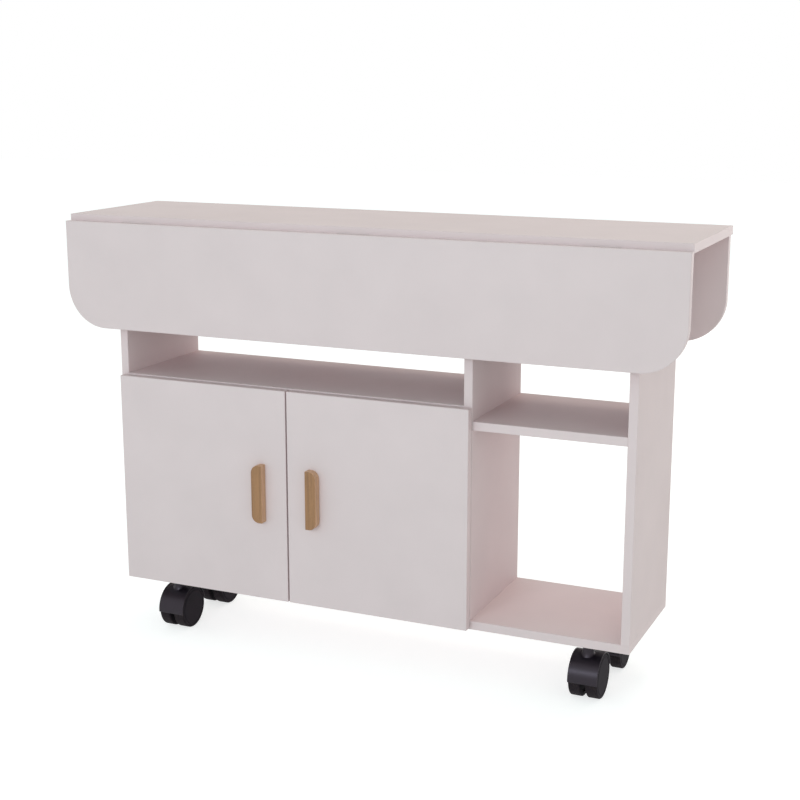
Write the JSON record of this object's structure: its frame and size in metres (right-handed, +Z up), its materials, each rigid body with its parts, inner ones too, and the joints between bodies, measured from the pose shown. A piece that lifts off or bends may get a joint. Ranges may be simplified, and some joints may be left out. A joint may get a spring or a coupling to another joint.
{
  "type": "room service table",
  "caption": "Long narrow room service table on twin-wheel casters with a drop leaf along each side, a two-door cabinet, an open niche and side shelves.",
  "frame": {"origin": "on the floor, under the middle of the table", "axes": "+X along the table towards the open side bays, +Y towards the back, away from the doors, +Z up"},
  "size_m": [1.2, 0.333, 0.831],
  "materials": {
    "melamine_board": "melamine-faced particle board, fine matt with a soft sheen",
    "back_board": "thin lacquered hardboard",
    "beech": "satin lacquered beech",
    "dowel_wood": "raw turned beech",
    "zinc_steel": "bright zinc-plated",
    "black_plastic": "moulded nylon, soft sheen",
    "wheel_nylon": "moulded nylon, worn matt on the tread",
    "bumper_rubber": "clear soft polyurethane"
  },
  "bodies": {
    "carcase": {"table_top": "melamine_board", "left_side_panel": "melamine_board", "right_side_panel": "melamine_board", "centre_divider": "melamine_board", "base_panel": "melamine_board", "cabinet_shelf": "melamine_board", "side_shelf": "melamine_board", "cabinet_back": "back_board", "cam_locks": "zinc_steel", "cam_bolts": "zinc_steel", "wooden_dowels": "dowel_wood", "base_screws": "zinc_steel", "front_hinge_top_plates": "zinc_steel", "rear_hinge_top_plates": "zinc_steel", "front_hinge_pins": "zinc_steel", "rear_hinge_pins": "zinc_steel", "hinge_top_screws": "zinc_steel", "left_hinge_arms": "zinc_steel", "right_hinge_arms": "zinc_steel", "kingpins": "zinc_steel", "caster_screws": "zinc_steel", "front_left_caster_plate": "zinc_steel", "front_right_caster_plate": "zinc_steel", "rear_left_caster_plate": "zinc_steel", "rear_right_caster_plate": "zinc_steel"},
    "front_leaf": {"front_leaf": "melamine_board", "front_hinge_leaf_plates": "zinc_steel", "front_hinge_leaf_screws": "zinc_steel"},
    "rear_leaf": {"rear_leaf": "melamine_board", "rear_hinge_leaf_plates": "zinc_steel", "rear_hinge_leaf_screws": "zinc_steel"},
    "left_door": {"left_door": "melamine_board", "left_handle": "beech", "left_handle_screws": "zinc_steel", "left_hinge_cups": "zinc_steel", "left_door_bumpers": "bumper_rubber"},
    "right_door": {"right_door": "melamine_board", "right_handle": "beech", "right_handle_screws": "zinc_steel", "right_hinge_cups": "zinc_steel", "right_door_bumpers": "bumper_rubber"},
    "front_left_caster": {"front_left_caster_hood": "black_plastic", "front_left_caster_axle": "zinc_steel"},
    "front_left_left_wheel": {"front_left_left_wheel": "wheel_nylon"},
    "front_left_right_wheel": {"front_left_right_wheel": "wheel_nylon"},
    "front_right_caster": {"front_right_caster_hood": "black_plastic", "front_right_caster_axle": "zinc_steel"},
    "front_right_left_wheel": {"front_right_left_wheel": "wheel_nylon"},
    "front_right_right_wheel": {"front_right_right_wheel": "wheel_nylon"},
    "rear_left_caster": {"rear_left_caster_hood": "black_plastic", "rear_left_caster_axle": "zinc_steel"},
    "rear_left_left_wheel": {"rear_left_left_wheel": "wheel_nylon"},
    "rear_left_right_wheel": {"rear_left_right_wheel": "wheel_nylon"},
    "rear_right_caster": {"rear_right_caster_hood": "black_plastic", "rear_right_caster_axle": "zinc_steel"},
    "rear_right_left_wheel": {"rear_right_left_wheel": "wheel_nylon"},
    "rear_right_right_wheel": {"rear_right_right_wheel": "wheel_nylon"}
  },
  "joints": [
    {"name": "front_leaf_hinge", "type": "hinge", "parent": "carcase", "child": "front_leaf", "pos_m": [0, -0.1525, 0.817], "axis": [-1, 0, 0], "range_deg": [0, 90]},
    {"name": "rear_leaf_hinge", "type": "hinge", "parent": "carcase", "child": "rear_leaf", "pos_m": [0, 0.1525, 0.817], "axis": [1, 0, 0], "range_deg": [0, 90]},
    {"name": "left_door_hinge", "type": "hinge", "parent": "carcase", "child": "left_door", "pos_m": [-0.505, -0.13, 0.3185], "axis": [0, 0, -1], "range_deg": [0, 95]},
    {"name": "right_door_hinge", "type": "hinge", "parent": "carcase", "child": "right_door", "pos_m": [0.217, -0.13, 0.3185], "axis": [0, 0, 1], "range_deg": [0, 95]},
    {"name": "front_left_swivel", "type": "hinge", "parent": "carcase", "child": "front_left_caster", "pos_m": [-0.427, -0.084, 0.095], "axis": [0, 0, 1], "continuous": true},
    {"name": "front_left_left_wheel_spin", "type": "hinge", "parent": "front_left_caster", "child": "front_left_left_wheel", "pos_m": [-0.443, -0.076, 0.041], "axis": [1, 0, 0], "continuous": true},
    {"name": "front_left_right_wheel_spin", "type": "hinge", "parent": "front_left_caster", "child": "front_left_right_wheel", "pos_m": [-0.411, -0.076, 0.041], "axis": [1, 0, 0], "continuous": true},
    {"name": "front_right_swivel", "type": "hinge", "parent": "carcase", "child": "front_right_caster", "pos_m": [0.427, -0.084, 0.095], "axis": [0, 0, 1], "continuous": true},
    {"name": "front_right_left_wheel_spin", "type": "hinge", "parent": "front_right_caster", "child": "front_right_left_wheel", "pos_m": [0.411, -0.076, 0.041], "axis": [1, 0, 0], "continuous": true},
    {"name": "front_right_right_wheel_spin", "type": "hinge", "parent": "front_right_caster", "child": "front_right_right_wheel", "pos_m": [0.443, -0.076, 0.041], "axis": [1, 0, 0], "continuous": true},
    {"name": "rear_left_swivel", "type": "hinge", "parent": "carcase", "child": "rear_left_caster", "pos_m": [-0.427, 0.066, 0.095], "axis": [0, 0, 1], "continuous": true},
    {"name": "rear_left_left_wheel_spin", "type": "hinge", "parent": "rear_left_caster", "child": "rear_left_left_wheel", "pos_m": [-0.443, 0.074, 0.041], "axis": [1, 0, 0], "continuous": true},
    {"name": "rear_left_right_wheel_spin", "type": "hinge", "parent": "rear_left_caster", "child": "rear_left_right_wheel", "pos_m": [-0.411, 0.074, 0.041], "axis": [1, 0, 0], "continuous": true},
    {"name": "rear_right_swivel", "type": "hinge", "parent": "carcase", "child": "rear_right_caster", "pos_m": [0.427, 0.066, 0.095], "axis": [0, 0, 1], "continuous": true},
    {"name": "rear_right_left_wheel_spin", "type": "hinge", "parent": "rear_right_caster", "child": "rear_right_left_wheel", "pos_m": [0.411, 0.074, 0.041], "axis": [1, 0, 0], "continuous": true},
    {"name": "rear_right_right_wheel_spin", "type": "hinge", "parent": "rear_right_caster", "child": "rear_right_right_wheel", "pos_m": [0.443, 0.074, 0.041], "axis": [1, 0, 0], "continuous": true}
  ]
}
